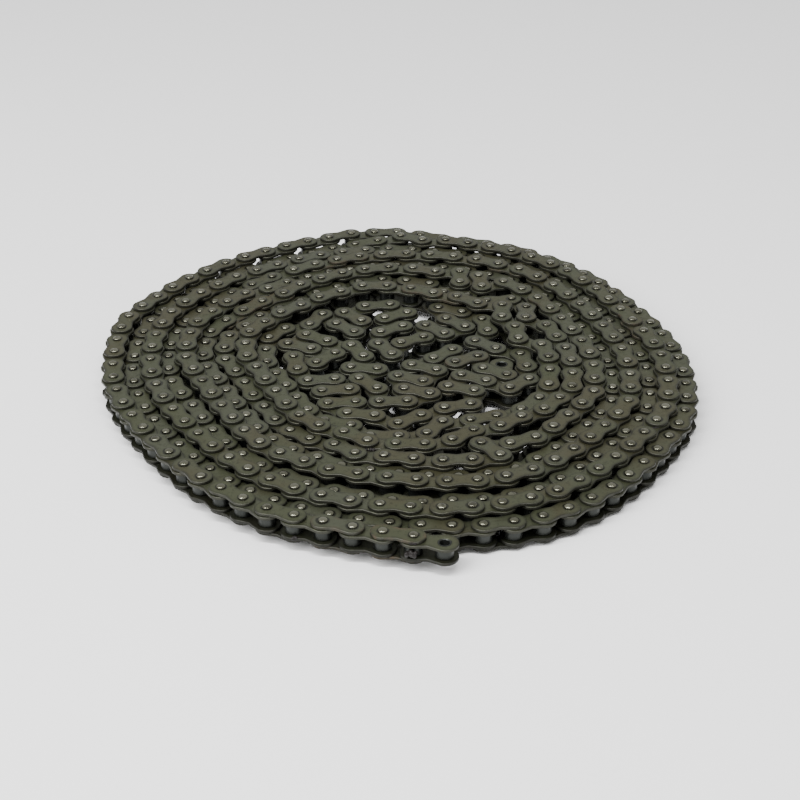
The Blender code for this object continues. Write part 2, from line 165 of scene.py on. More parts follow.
# Clumps of old grease, in millimetres: pin beside which each sits, its place from the pin's
# lower end, and how far it reaches each way. The second link's grease lies between the end
# link's plates, in front of the roller, and on its own upper plate's rim, so the end link
# turns past it.
SECOND_LINK_GREASE = [
    (1, (-0.9, -5.75, 6.4), (3.4, 1.2, 1.9)),
    (1, (0.0, -5.2, 11.2), (2.2, 0.5, 0.5)),
]
HEAP_GREASE = [
    (195, (-0.8, -5.2, 9.9), (3.0, 0.8, 0.9)), (193, (0.6, -5.0, 9.8), (2.4, 0.7, 0.8)),
    (397, (1.4, -5.3, 9.6), (3.4, 0.8, 0.9)), (187, (0.4, -5.2, 9.6), (2.4, 0.7, 0.7)),
    (124, (-1.0, -5.0, 9.8), (2.2, 0.7, 0.8)), (5, (0.6, -5.2, 3.6), (2.6, 0.8, 1.0)),
    (70, (0.4, -5.1, 9.6), (2.4, 0.6, 0.6)),
]
DROPS_IN_CLUMP = 26
DROP_SIZES = (0.55, 0.9)
DROP_SPREAD = 0.6
GREASE_FINENESS = 0.00022

# Camera, set so that the chain's pins fall where the photo shows them
CAMERA_AT = (0.00173, -0.71426, 0.39582)
CAMERA_AIM = (0.00173, -0.04210, 0.0160)
CAMERA_LENS = 76.56


def smooth_route(numbers, guides):
    """A smooth curve through the guides, read at every pin number."""
    slopes = np.gradient(guides, numbers, axis=0)
    pins = np.arange(numbers[-1] + 1)
    before = np.clip(np.searchsorted(numbers, pins, side="right") - 1, 0, len(numbers) - 2)
    span = (numbers[before + 1] - numbers[before])[:, None]
    t = (pins - numbers[before])[:, None] / span
    return (
        (2 * t**3 - 3 * t**2 + 1) * guides[before]
        + (t**3 - 2 * t**2 + t) * span * slopes[before]
        + (3 * t**2 - 2 * t**3) * guides[before + 1]
        + (t**3 - t**2) * span * slopes[before + 1]
    )


def raised_flags(count):
    """1 at each pin of a stretch that lies on its neighbours, 0 on the floor."""
    flags = np.ones(count, int)
    for pin in HEIGHT_CHANGES:
        flags[pin:] = 1 - flags[pin]
    return flags


def near_pairs(points, along, middle, raised):
    """Pairs of places on different links that lie close, with the distance each pair keeps."""
    apart = points[:, None] - points[None]
    close = np.hypot(apart[..., 0], apart[..., 1]) < NEAR
    first, second = np.nonzero(np.triu(close & (np.abs(along[:, None] - along[None]) > 1.6)))
    kind = middle[first] + middle[second]
    same = raised[first] == raised[second]
    keep = np.where(same, np.array(SAME_HEIGHT_APART)[kind], np.array(NESTED_APART)[kind])
    return first, second, keep


def chain_pins():
    """Each pin's place in plan, in metres: one pitch apart, near the route, turns kept apart."""
    numbers = np.array([stop[0] for stop in ROUTE])
    guides = (np.array([stop[1:] for stop in ROUTE]) - MIDDLE) * 0.001 / PITCH
    pins = smooth_route(numbers, guides)
    count = len(pins)
    raised = raised_flags(count)
    along = np.concatenate([np.arange(count), np.arange(count - 1) + 0.5])
    middle = np.concatenate([np.zeros(count, int), np.ones(count - 1, int)])
    raised = np.concatenate([raised, raised[:-1]])
    points = np.concatenate([pins, (pins[1:] + pins[:-1]) / 2])
    first, second, keep = near_pairs(points, along, middle, raised)
    for turn in range(PULLED_ROUNDS + FREE_ROUNDS):
        if turn < PULLED_ROUNDS:
            pins[numbers] += PULL * (guides - pins[numbers])
        if turn % PUSH_EVERY == 0:
            points = np.concatenate([pins, (pins[1:] + pins[:-1]) / 2])
            apart = points[first] - points[second]
            distance = np.hypot(apart[:, 0], apart[:, 1])[:, None]
            push = PUSH * apart / distance * np.maximum(keep[:, None] - distance, 0)
            moves = np.zeros_like(points)
            np.add.at(moves, first, push)
            np.add.at(moves, second, -push)
            pins += moves[:count]
            pins[1:] += moves[count:] / 2
            pins[:-1] += moves[count:] / 2
        for start in (0, 1):
            pairs = (count - start) // 2
            ends = pins[start : start + 2 * pairs].reshape(pairs, 2, 2)
            link = ends[:, 1] - ends[:, 0]
            length = np.hypot(link[:, 0], link[:, 1])[:, None]
            slack = link / length * (length - 1) / 2
            ends[:, 0] += slack
            ends[:, 1] -= slack
            pins[start : start + 2 * pairs] = ends.reshape(-1, 2)
    return pins * PITCH


class Chain:
    """The chain's pins and links in space: places, headings and leans."""

    def __init__(self):
        plan = chain_pins()
        stops = np.array(SLOPES, float)
        height = np.interp(np.arange(len(plan)), stops[:, 0], stops[:, 1]) * NESTING_STEP
        self.pins = np.column_stack([plan, height])
        run = np.diff(self.pins, axis=0)
        self.centres = (self.pins[1:] + self.pins[:-1]) / 2
        self.headings = np.arctan2(run[:, 1], run[:, 0])
        self.leans = -np.arctan2(run[:, 2], np.hypot(run[:, 0], run[:, 1]))
        self.outer = np.arange(len(run)) % 2 == 1
        before = np.concatenate([self.leans[:1], self.leans])
        after = np.concatenate([self.leans, self.leans[-1:]])
        self.pin_leans = (before + after) / 2
        self.pin_headings = np.concatenate([self.headings, self.headings[-1:]])


# Nodes


class Value:
    """A node's output; arithmetic on it adds Math nodes."""

    def __init__(self, nodes, socket):
        self.nodes = nodes
        self.socket = socket

    def math(self, operation, *others, clamp=False):
        settings = {"operation": operation, "use_clamp": clamp}
        values = dict(enumerate((self, *others)))
        return self.nodes.add("ShaderNodeMath", settings, values)

    def __add__(self, other):
        return self.math("ADD", other)

    def __radd__(self, other):
        return self.nodes.number("ADD", other, self)

    def __sub__(self, other):
        return self.math("SUBTRACT", other)

    def __rsub__(self, other):
        return self.nodes.number("SUBTRACT", other, self)

    def __mul__(self, other):
        return self.math("MULTIPLY", other)

    def __rmul__(self, other):
        return self.nodes.number("MULTIPLY", other, self)

    def __truediv__(self, other):
        return self.math("DIVIDE", other)

    def __pow__(self, other):
        return self.math("POWER", other)

    def __abs__(self):
        return self.math("ABSOLUTE")

    def least(self, other):
        return self.math("MINIMUM", other)

    def most(self, other):
        return self.math("MAXIMUM", other)

    def rises(self, low, high):
        """0 below low, 1 above high, and a smooth step between them."""
        values = {"Value": self, "From Min": low, "From Max": high}
        settings = {"interpolation_type": "SMOOTHSTEP"}
        return self.nodes.add("ShaderNodeMapRange", settings, values)


class Nodes:
    """Adds nodes to one tree."""

    def __init__(self, tree):
        self.tree = tree

    def add(self, kind, settings=None, values=None, output=0):
        """A node of that kind: its settings first, then its sockets' values or links."""
        node = self.tree.nodes.new(kind)
        for name, setting in (settings or {}).items():
            if name == "stops":
                self.set_stops(node.color_ramp, setting)
            else:
                setattr(node, name, setting)
        shown = [socket for socket in node.inputs if socket.enabled]
        for name, value in (values or {}).items():
            found = shown[name] if isinstance(name, int) else next(s for s in shown if s.name == name)
            if isinstance(value, Value):
                self.tree.links.new(value.socket, found)
            else:
                found.default_value = value
        outputs = [socket for socket in node.outputs if socket.enabled]
        if isinstance(output, str):
            return Value(self, next(s for s in outputs if s.name == output))
        return Value(self, outputs[output]) if outputs else node

    def number(self, operation, first, second):
        return self.add("ShaderNodeMath", {"operation": operation}, {0: first, 1: second})

    def set_stops(self, ramp, stops):
        while len(ramp.elements) < len(stops):
            ramp.elements.new(1.0)
        for element, (position, colour) in zip(ramp.elements, stops):
            element.position = position
            element.color = (*colour, 1)

    def mix(self, factor, first, second):
        settings = {"data_type": "RGBA", "clamp_factor": True}
        return self.add("ShaderNodeMix", settings, {"Factor": factor, "A": first, "B": second})


# Geometry Nodes trees: one lays plates on links, one lays turned pieces on pins


def new_tree(name, inputs):
    """An empty Geometry Nodes tree with named inputs: {name: (socket type, default)}."""
    tree = bpy.data.node_groups.new(name, "GeometryNodeTree")
    tree.interface.new_socket("Geometry", in_out="INPUT", socket_type="NodeSocketGeometry")
    tree.interface.new_socket("Geometry", in_out="OUTPUT", socket_type="NodeSocketGeometry")
    for label, (kind, default) in inputs.items():
        socket = tree.interface.new_socket(label, in_out="INPUT", socket_type=kind)
        if default is not None:
            socket.default_value = default
    nodes = Nodes(tree)
    entry = tree.nodes.new("NodeGroupInput")
    given = {socket.name: Value(nodes, socket) for socket in entry.outputs if socket.name}
    return nodes, given


def named(nodes, name, kind="FLOAT"):
    values = {"Name": name}
    return nodes.add("GeometryNodeInputNamedAttribute", {"data_type": kind}, values)


def spread(nodes, half, seed, number):
    """A random value from -half to half for each point."""
    values = {"Min": nodes.number("MULTIPLY", half, -1.0), "Max": half, "ID": number, "Seed": seed}
    return nodes.add("FunctionNodeRandomValue", {"data_type": "FLOAT"}, values)


def place_copies(nodes, given, shape):
    """Copies of the shape on every point, turned to the chain's heading and lean there."""
    number = named(nodes, "number", "INT")
    lean = named(nodes, "lean") + spread(nodes, given["Lean spread"], given["Seed"], number)
    turn = nodes.add("ShaderNodeCombineXYZ", None, {"Y": lean, "Z": named(nodes, "heading")})
    lift = spread(nodes, given["Lift spread"], given["Seed"] + 1, number)
    shift = nodes.add("ShaderNodeCombineXYZ", None, {"Z": lift})
    points = nodes.add("GeometryNodeSetPosition", None,
                       {"Geometry": given["Geometry"], "Offset": shift})
    tone = nodes.add("FunctionNodeRandomValue", {"data_type": "FLOAT"},
                     {"Min": 0.0, "Max": 1.0, "ID": number, "Seed": given["Seed"] + 2})
    toned = nodes.add("GeometryNodeStoreNamedAttribute", {"data_type": "FLOAT"},
                      {"Geometry": points, "Name": "tone", "Value": tone})
    copies = nodes.add("GeometryNodeInstanceOnPoints", None,
                       {"Points": toned, "Instance": shape, "Rotation": turn})
    whole = nodes.add("GeometryNodeRealizeInstances", None, {"Geometry": copies})
    finished = nodes.add("GeometryNodeSetMaterial", None,
                         {"Geometry": whole, "Material": given["Material"]})
    nodes.add("NodeGroupOutput", None, {"Geometry": finished})


COMMON_INPUTS = {
    "Lift spread": ("NodeSocketFloat", LIFT_SPREAD),
    "Lean spread": ("NodeSocketFloat", LEAN_SPREAD),
    "Seed": ("NodeSocketInt", 1),
    "Material": ("NodeSocketMaterial", None),
}


def plates_tree():
    """Lays a lower and an upper plate on each link."""
    inputs = {
        "Plate": ("NodeSocketObject", None),
        "Lower height": ("NodeSocketFloat", LOWER_OUTER),
        "Upper height": ("NodeSocketFloat", UPPER_OUTER),
        **COMMON_INPUTS,
    }
    nodes, given = new_tree("plates on links", inputs)
    plate = nodes.add("GeometryNodeObjectInfo", None, {"Object": given["Plate"]}, "Geometry")
    pair = []
    for side in ("Lower height", "Upper height"):
        up = nodes.add("ShaderNodeCombineXYZ", None, {"Z": given[side]})
        pair.append(nodes.add("GeometryNodeTransform", None,
                              {"Geometry": plate, "Translation": up}))
    both = nodes.tree.nodes.new("GeometryNodeJoinGeometry")
    for one in pair:
        nodes.tree.links.new(one.socket, both.inputs[0])
    place_copies(nodes, given, Value(nodes, both.outputs[0]))
    return nodes.tree


def turned_tree():
    """Stands a turned piece, such as a pin or a roller, on each pin's place."""
    inputs = {
        "Turned piece": ("NodeSocketObject", None),
        "Height": ("NodeSocketFloat", 0.0),
        **COMMON_INPUTS,
    }
    nodes, given = new_tree("turned pieces on pins", inputs)
    values = {"Object": given["Turned piece"]}
    piece = nodes.add("GeometryNodeObjectInfo", None, values, "Geometry")
    up = nodes.add("ShaderNodeCombineXYZ", None, {"Z": given["Height"]})
    lifted = nodes.add("GeometryNodeTransform", None, {"Geometry": piece, "Translation": up})
    place_copies(nodes, given, lifted)
    return nodes.tree


def point_cloud(name, places, headings, leans, numbers):
    """A mesh of loose points, which carry the chain's heading, lean, link number and rust."""
    mesh = bpy.data.meshes.new(name)
    mesh.from_pydata([tuple(place) for place in places], [], [])
    for label, kind, values in (
        ("heading", "FLOAT", headings), ("lean", "FLOAT", leans), ("number", "INT", numbers),
        ("rust", "FLOAT", [RUSTY_LINKS.get(int(number), 0.0) for number in numbers]),
    ):
        mesh.attributes.new(label, kind, "POINT").data.foreach_set("value", list(values))
    cloud = bpy.data.objects.new(name, mesh)
    bpy.context.scene.collection.objects.link(cloud)
    return cloud


def set_inputs(modifier, values):
    for socket in modifier.node_group.interface.items_tree:
        if socket.in_out == "INPUT" and socket.name in values:
            modifier[socket.identifier] = values[socket.name]


def grow(name, cloud, tree, values):
    """The tree's result on the cloud as one plain mesh object."""
    modifier = cloud.modifiers.new("laid out", "NODES")
    modifier.node_group = tree
    set_inputs(modifier, values)
    bpy.context.view_layer.update()
    evaluated = cloud.evaluated_get(bpy.context.evaluated_depsgraph_get())
    mesh = bpy.data.meshes.new_from_object(evaluated)
    bpy.data.objects.remove(cloud)
    piece = bpy.data.objects.new(name, mesh)
    bpy.context.scene.collection.objects.link(piece)
    return piece


# Shapes of one plate, pin, roller and bush


def circle(centre_x, radius, sides):
    angles = [math.tau * (side + 0.5) / sides for side in range(sides)]
    return [(centre_x + radius * math.cos(a), radius * math.sin(a)) for a in angles]


def half_width(along, end_radius, waist):
    """Half the width of a side plate at a place along it, between its two pins."""
    share = abs(along) / (PITCH / 2)
    return waist + (end_radius - waist) * share**2 * (3 - 2 * share)


def plate_outline(end_radius, waist, end_steps, waist_steps):
    """Round ends about the pins, drawn in to the waist: anticlockwise from the right end."""
    half = PITCH / 2
    right = []
    for step in range(end_steps + 1):
        angle = -math.pi / 2 + math.pi * step / end_steps
        right.append((half + end_radius * math.cos(angle), end_radius * math.sin(angle)))
    back = []
    for step in range(1, waist_steps):
        along = half - PITCH * step / waist_steps
        back.append((along, half_width(along, end_radius, waist)))
    side = right + back
    return side + [(-x, -y) for x, y in side]


def plate_shape(name, end_radius, waist, end_steps=8, holes=()):
    """One stamped side plate with broken edges; its outline has the holes, if any."""
    edge = 0.00022
    flat = bpy.data.curves.new(name, "CURVE")
    flat.dimensions = "2D"
    flat.fill_mode = "BOTH"
    flat.extrude = PLATE / 2 - edge
    flat.bevel_depth = edge
    flat.offset = -edge
    flat.bevel_resolution = 0
    outlines = [plate_outline(end_radius, waist, end_steps, 4)]
    outlines += [circle(x, radius, 24) for x, radius in holes]
    for outline in outlines:
        spline = flat.splines.new("POLY")
        spline.points.add(len(outline) - 1)
        for point, (x, y) in zip(spline.points, outline):
            point.co = (x, y, 0, 1)
        spline.use_cyclic_u = True
    curve = bpy.data.objects.new(name, flat)
    bpy.context.scene.collection.objects.link(curve)
    bpy.context.view_layer.update()
    evaluated = curve.evaluated_get(bpy.context.evaluated_depsgraph_get())
    mesh = bpy.data.meshes.new_from_object(evaluated)
    bpy.data.objects.remove(curve)
    edit = bmesh.new()
    edit.from_mesh(mesh)
    bmesh.ops.remove_doubles(edit, verts=edit.verts, dist=1e-6)
    bmesh.ops.recalc_face_normals(edit, faces=edit.faces)
    edit.to_mesh(mesh)
    edit.free()
    finish_mesh(mesh, (0, 0, PLATE / 2), 32)
    return hide_new(name, mesh)


def finish_mesh(mesh, shift, sharp_degrees):
    """Shades the mesh smooth up to an angle and keeps each point's place on the shape."""
    mesh.shade_smooth()
    mesh.set_sharp_from_angle(angle=math.radians(sharp_degrees))
    places = np.array([vertex.co for vertex in mesh.vertices])
    spot = mesh.attributes.new("spot", "FLOAT_VECTOR", "POINT")
    spot.data.foreach_set("vector", (places * 1000).ravel())
    for vertex in mesh.vertices:
        vertex.co += Vector(shift)


def hide_new(name, mesh):
    shape = bpy.data.objects.new(name, mesh)
    bpy.context.scene.collection.objects.link(shape)
    shape.hide_render = True
    return shape


def turned_shape(name, profile, sides):
    """A shape turned about its upright axis; the profile is (radius, height), top to bottom.

    A profile that starts away from the axis is a ring and is closed.
    """
    edit = bmesh.new()
    rings = []
    for radius, height in profile:
        if radius == 0:
            rings.append([edit.verts.new((0, 0, height))] * sides)
            continue
        angles = [math.tau * side / sides for side in range(sides)]
        rings.append([
            edit.verts.new((radius * math.cos(a), radius * math.sin(a), height)) for a in angles
        ])
    pairs = list(zip(rings, rings[1:]))
    if profile[0][0] > 0:
        pairs.append((rings[-1], rings[0]))
    for upper, lower in pairs:
        for side in range(sides):
            after = (side + 1) % sides
            corners = [upper[side], lower[side], lower[after], upper[after]]
            edit.faces.new(list(dict.fromkeys(corners)))
    mesh = bpy.data.meshes.new(name)
    edit.to_mesh(mesh)
    edit.free()
    finish_mesh(mesh, (0, 0, 0), 40)
    return hide_new(name, mesh)


def pin_shape():
    """A riveted pin: its ends are upset to a low crown."""
    top = PIN_LENGTH - PIN_SHORTER
    low = PIN_SHORTER
    crown = [(0, 0), (0.5, 0.03), (0.72, 0.12), (0.89, 0.3), (1, 0.58)]
    profile = [(share * PIN_RADIUS, top - drop * 0.001) for share, drop in crown]
    profile += [(PIN_RADIUS, low + 0.0003), (PIN_RADIUS - 0.0003, low), (0, low)]
    return turned_shape("pin shape", profile, 16)


def roller_shape(name, sides, bore):
    edge = 0.0003
    high = ROLLER_LENGTH
    outside = [(ROLLER_RADIUS - edge, high), (ROLLER_RADIUS, high - edge),
               (ROLLER_RADIUS, edge), (ROLLER_RADIUS - edge, 0)]
    inside = [(bore, 0), (bore, high)] if bore else []
    caps = (([], []) if bore else ([(0, high)], [(0, 0)]))
    return turned_shape(name, caps[0] + outside + inside + caps[1], sides)


def bush_shape():
    edge = 0.00025
    high = UPPER_OUTER - PLATE_GAP - LOWER_INNER
    profile = [(BUSH_RADIUS, high), (BUSH_RADIUS, 0), (BUSH_BORE + edge, 0), (BUSH_BORE, edge),
               (BUSH_BORE, high - edge), (BUSH_BORE + edge, high)]
    return turned_shape("bush shape", profile, 32)


# Finishes


class Finish(Nodes):
    """A material, with its Principled shader ready to be fed."""

    def __init__(self, name):
        self.material = bpy.data.materials.new(name)
        self.material.use_nodes = True
        super().__init__(self.material.node_tree)
        self.shader = self.tree.nodes["Principled BSDF"]
        self.place = self.add("ShaderNodeTexCoord", None, None, "Object")

    def attribute(self, name, output="Fac"):
        return self.add("ShaderNodeAttribute", {"attribute_name": name}, None, output)

    def noise(self, scale, detail=3.0, roughness=0.55):
        values = {"Vector": self.place, "Scale": scale, "Detail": detail, "Roughness": roughness}
        return self.add("ShaderNodeTexNoise", None, values)

    def feed(self, **values):
        for name, value in values.items():
            socket = self.shader.inputs[name.replace("_", " ")]
            if isinstance(value, Value):
                self.tree.links.new(value.socket, socket)
            else:
                socket.default_value = value

    def relief(self, height, depth):
        values = {"Height": height, "Strength": 1.0, "Distance": depth}
        self.feed(Normal=self.add("ShaderNodeBump", None, values))


OLIVE_FILM = (0.062, 0.0685, 0.036, 1)
GREY_FILM = (0.070, 0.0755, 0.050, 1)
BROWN_FILM = (0.066, 0.060, 0.031, 1)
# Painted shade for the plates' rims, then old oil, which also stands for painted shade and shadow
RIM_SHADE = (0.030, 0.030, 0.024, 1)
OIL_AND_SHADE = (0.006, 0.006, 0.0045, 1)
RUST = (0.056, 0.039, 0.020, 1)


def plate_finish(name, end_radius, waist):
    """Rolled plate under an oil film: darker along its edge with oil and painted shade, a rim of
    painted shade on its bevel and sides, a ring of oil and painted shadow about each pin, painted
    shade on the lower plates, rust on some links.
    """
    finish = Finish(name)
    spot = finish.attribute("spot", "Vector")
    split = spot.nodes.add("ShaderNodeSeparateXYZ", None, {"Vector": spot})
    x = Value(finish, split.socket.node.outputs["X"])
    y = Value(finish, split.socket.node.outputs["Y"])
    half = PITCH * 500
    beyond = (abs(x) - half).most(0.0)
    share = (abs(x) / half).least(1.0)
    end = end_radius * 1000
    narrow = waist * 1000
    side = narrow + (end - narrow) * share * share * (3 - 2 * share)
    from_pin = ((abs(x) - half) ** 2 + y**2) ** 0.5
    from_edge = (side - abs(y)).least(end - (beyond**2 + y**2) ** 0.5)
    tone = finish.attribute("tone")
    patches = finish.noise(55.0, 2.0)
    broad = finish.noise(8.0, 1.0)
    grain = finish.noise(420.0, 4.0, 0.65)
    speck = finish.noise(1500.0, 2.0)
    rust = finish.attribute("rust")

    film = finish.mix(tone * 0.7 + patches * 0.5 - 0.1, OLIVE_FILM, GREY_FILM)
    film = finish.mix((patches * 0.6 + broad * 0.5 - 0.52).rises(-0.02, 0.16) * 0.7, film, BROWN_FILM)
    # Darker towards the plate's edge: partly old oil, partly painted shade between the plates
    oil_and_shade_at_edge = 1 - (from_edge + (grain - 0.5) * 1.6).rises(0.0, 1.7)
    colour = finish.mix(oil_and_shade_at_edge * 0.42, film, OIL_AND_SHADE)
    # Painted shade: the plate's bevel and side walls are darkened, as shaded sides
    rim = 1 - (from_edge + (grain - 0.5) * 0.3).rises(0.12, 0.42)
    colour = finish.mix(rim * 0.85, colour, RIM_SHADE)
    stain = (grain - 0.5).rises(-0.04, 0.16) * (speck - 0.5).rises(-0.1, 0.12)
    colour = finish.mix(stain * 0.45, colour, OIL_AND_SHADE)
    # A dark ring about each pin: partly oil, partly painted shadow beside the pin's end
    oil_and_shadow_ring = 1 - (from_pin + (grain - 0.5) * 2.2 - tone * 0.4).rises(2.1, 2.9)
    colour = finish.mix(oil_and_shadow_ring * 0.8, colour, OIL_AND_SHADE)
    # Painted shade: plates low in the heap are darkened, as in the shade under the upper plates
    height = finish.add("ShaderNodeSeparateXYZ", None, {"Vector": finish.place}, "Z")
    colour = finish.mix((1 - height.rises(0.0068, 0.0086)) * 0.62, colour, OIL_AND_SHADE)
    near_edge = 1 - from_edge.rises(0.2, 2.4)
    flakes = finish.noise(190.0, 3.0, 0.6)
    rusty = rust * near_edge * (flakes + grain * 0.3 - 0.15).rises(0.42, 0.66)
    colour = finish.mix(rusty * 0.75, colour, RUST)

    rough = 0.44 + (grain - 0.5) * 0.34 + rusty * 0.25 - oil_and_shadow_ring * 0.12 + rim * 0.06
    finish.feed(Base_Color=colour, Roughness=rough.math("ADD", 0.0, clamp=True),
                Metallic=0.72 - 0.35 * rusty)
    relief = grain * 0.6 + speck * 0.25 + patches * 1.6
    finish.relief(relief, 0.00012)
    return finish.material


def pin_finish():
    """Ground pin ends, bright where they were rubbed, with oil in the dimples, and painted shade on
    the side below the crown.
    """
    finish = Finish("bright pin ends")
    tone = finish.attribute("tone")
    grain = finish.noise(900.0, 3.0)
    clouds = finish.noise(240.0, 2.0)
    colour = finish.mix(tone * 0.6 + clouds * 0.4, (0.10, 0.10, 0.07, 1), (0.21, 0.21, 0.16, 1))
    oily = (clouds - 0.5).rises(0.0, 0.14)
    colour = finish.mix(oily * 0.6, colour, (0.03, 0.028, 0.02, 1))
    up = finish.add("ShaderNodeSeparateXYZ", None, {"Vector": finish.attribute("spot", "Vector")}, "Z")
    # Painted shade: the pin's side below the crown is darkened
    shank_shade = 1 - (up - PIN_LENGTH * 1000).rises(-0.85, -0.6)
    colour = finish.mix(shank_shade * 0.9, colour, OIL_AND_SHADE)
    finish.feed(Base_Color=colour, Metallic=0.9, Roughness=0.17 + (grain - 0.5) * 0.2)
    finish.relief(clouds * 0.8 + grain * 0.3, 0.00012)
    return finish.material


def roller_finish():
    """Dark hardened rollers, their colour darkened further as painted shade between the plates."""
    finish = Finish("oiled rollers")
    tone = finish.attribute("tone")
    grain = finish.noise(500.0, 3.0)
    clouds = finish.noise(120.0, 2.0)
    # Painted shade: the rollers' colour is kept very dark, as shaded between the plates
    colour = finish.mix(tone * 0.5 + clouds * 0.5, (0.018, 0.020, 0.018, 1), (0.042, 0.045, 0.041, 1))
    finish.feed(Base_Color=colour, Metallic=0.8, Roughness=0.38 + (grain - 0.5) * 0.3)
    finish.relief(grain, 0.00008)
    return finish.material


def grease_finish():
    """Old grease: nearly black, wet and lumpy."""
    finish = Finish("old grease")
    grain = finish.noise(700.0, 3.0)
    colour = finish.mix(grain, (0.003, 0.0025, 0.0025, 1), (0.014, 0.011, 0.010, 1))
    finish.feed(Base_Color=colour, Roughness=0.3 + grain * 0.25, Specular_IOR_Level=0.2)
    finish.relief(finish.noise(1300.0, 2.0), 0.0003)
    return finish.material


def floor_finish():
    finish = Finish("pale floor")
    finish.feed(Base_Color=(0.96, 0.96, 0.96, 1), Roughness=0.9)
    return finish.material


# The chain's pieces


def spreads(loose):
    """How much like pieces differ in height and lean: not at all where they aren't loose."""
    return {"Lift spread": LIFT_SPREAD * loose, "Lean spread": LEAN_SPREAD * loose}


def lay_plates(name, chain, links, plate, heights, finish, seed, loose=True):
    cloud = point_cloud(name + " points", chain.centres[links], chain.headings[links],
                        chain.leans[links], links)
    values = {"Plate": plate, "Lower height": heights[0], "Upper height": heights[1],
              "Seed": seed, "Material": finish, **spreads(loose)}
    return grow(name, cloud, PLATES_TREE, values)


def lay_turned(name, chain, pins, shape, height, finish, seed, loose=True):
    cloud = point_cloud(name + " points", chain.pins[pins], chain.pin_headings[pins],
                        chain.pin_leans[pins], pins)
    values = {"Turned piece": shape, "Height": height, "Seed": seed, "Material": finish,
              **spreads(loose)}
    return grow(name, cloud, TURNED_TREE, values)


def hand_over(piece, body, slot, *nodes):
    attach(piece, body)
    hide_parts(*nodes)


def make_chain(chain):
    links = np.arange(len(chain.centres))
    pins = np.arange(len(chain.pins))
    outer = links[chain.outer]
    inner = links[~chain.outer]
    last = int(links[-1])
    outer_steel = plate_finish("oiled outer plates", OUTER_PLATE_END, OUTER_WAIST)
    inner_steel = plate_finish("oiled inner plates", INNER_PLATE_END, INNER_WAIST)
    pin_steel = pin_finish()
    roller_steel = roller_finish()
    half = PITCH / 2
    outer_plate = plate_shape("outer plate shape", OUTER_PLATE_END, OUTER_WAIST)
    inner_plate = plate_shape("inner plate shape", INNER_PLATE_END, INNER_WAIST)
    holes = [(-half, BUSH_RADIUS), (half, BUSH_RADIUS)]
    open_plate = plate_shape("open inner plate shape", INNER_PLATE_END, INNER_WAIST, 12, holes)
    pin = pin_shape()
    roller = roller_shape("roller shape", 16, 0)
    open_roller = roller_shape("open roller shape", 32, ROLLER_BORE)
    bush = bush_shape()
    outer_heights = (LOWER_OUTER, UPPER_OUTER)
    inner_heights = (LOWER_INNER, UPPER_INNER)
    roller_height = ROLLERS_FROM + (ROLLER_SPACE - ROLLER_LENGTH) / 2
    upper = sorted(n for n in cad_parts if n.endswith("upper_plates"))
    lower = sorted(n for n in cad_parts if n.endswith("pins_and_rollers"))

    piece = lay_plates("heap_outer_plates", chain, outer[outer > SECOND_LINK], outer_plate,
                       outer_heights, outer_steel, 11)
    hand_over(piece, "heap", "plate_steel", *upper)
    closed = inner[(inner > THIRD_LINK) & (inner < last)]
    piece = lay_plates("heap_inner_plates", chain, closed, inner_plate, inner_heights,
                       inner_steel, 23)
    hand_over(piece, "heap", "plate_steel", *upper)
    piece = lay_plates("inner_end_plates", chain, links[-1:], open_plate, inner_heights,
                       inner_steel, 29)
    hand_over(piece, "heap", "plate_steel", "folded_middle_upper_plates")
    piece = lay_turned("heap_pins", chain, pins[SECOND_PIN + 1 : -1], pin, 0.0, pin_steel, 37)
    hand_over(piece, "heap", "pin_steel", *lower)
    piece = lay_turned("heap_rollers", chain, pins[SECOND_PIN + 1 : -1], roller, roller_height,
                       roller_steel, 41)
    hand_over(piece, "heap", "roller_steel", *lower)
    piece = lay_turned("inner_end_roller", chain, pins[-1:], open_roller, roller_height,
                       roller_steel, 43)
    hand_over(piece, "heap", "roller_steel", "folded_middle_pins_and_rollers")
    bushed = pins[[SECOND_PIN, SECOND_PIN + 1, -2, -1]]
    piece = lay_turned("heap_bushes", chain, bushed, bush, LOWER_INNER, roller_steel, 47, False)
    hand_over(piece, "heap", "roller_steel", "third_link_bush")
    piece = lay_plates("third_link_plates", chain, links[[THIRD_LINK]], open_plate,
                       inner_heights, inner_steel, 31, False)
    hand_over(piece, "heap", "plate_steel", "first_turn_upper_plates")
    piece = lay_turned("third_link_open_roller", chain, pins[[SECOND_PIN]], open_roller,
                       roller_height, roller_steel, 45, False)
    hand_over(piece, "heap", "roller_steel", "third_link_roller")

    piece = lay_plates("second_link_plates", chain, links[[SECOND_LINK]], outer_plate,
                       outer_heights, outer_steel, 53, False)
    hand_over(piece, "second_link", "plate_steel", "second_link_plate_lower",
              "second_link_plate_upper")
    piece = lay_turned("second_link_pins", chain, pins[[END_PIN, SECOND_PIN]], pin, 0.0,
                       pin_steel, 59, False)
    hand_over(piece, "second_link", "pin_steel", "end_link_pin", "second_link_pin")

    piece = lay_plates("end_link_plates", chain, links[[END_LINK]], open_plate, inner_heights,
                       inner_steel, 61, False)
    hand_over(piece, "end_link", "plate_steel", "end_link_plate_lower", "end_link_plate_upper")
    piece = lay_turned("end_link_bushes", chain, pins[:2], bush, LOWER_INNER, roller_steel, 67,
                       False)
    hand_over(piece, "end_link", "roller_steel", "end_link_tip_bush", "end_link_hinge_bush")
    piece = lay_turned("end_link_rollers", chain, pins[:2], open_roller, roller_height,
                       roller_steel, 71, False)
    hand_over(piece, "end_link", "roller_steel", "end_link_tip_roller", "end_link_hinge_roller")
    grease = grease_finish()
    make_grease("second_link_grease", chain, SECOND_LINK_GREASE, "second_link", grease, 5)
    make_grease("heap_grease", chain, HEAP_GREASE, "heap", grease, 8)
    for shape in (outer_plate, inner_plate, open_plate, pin, roller, open_roller, bush):
        bpy.data.objects.remove(shape)


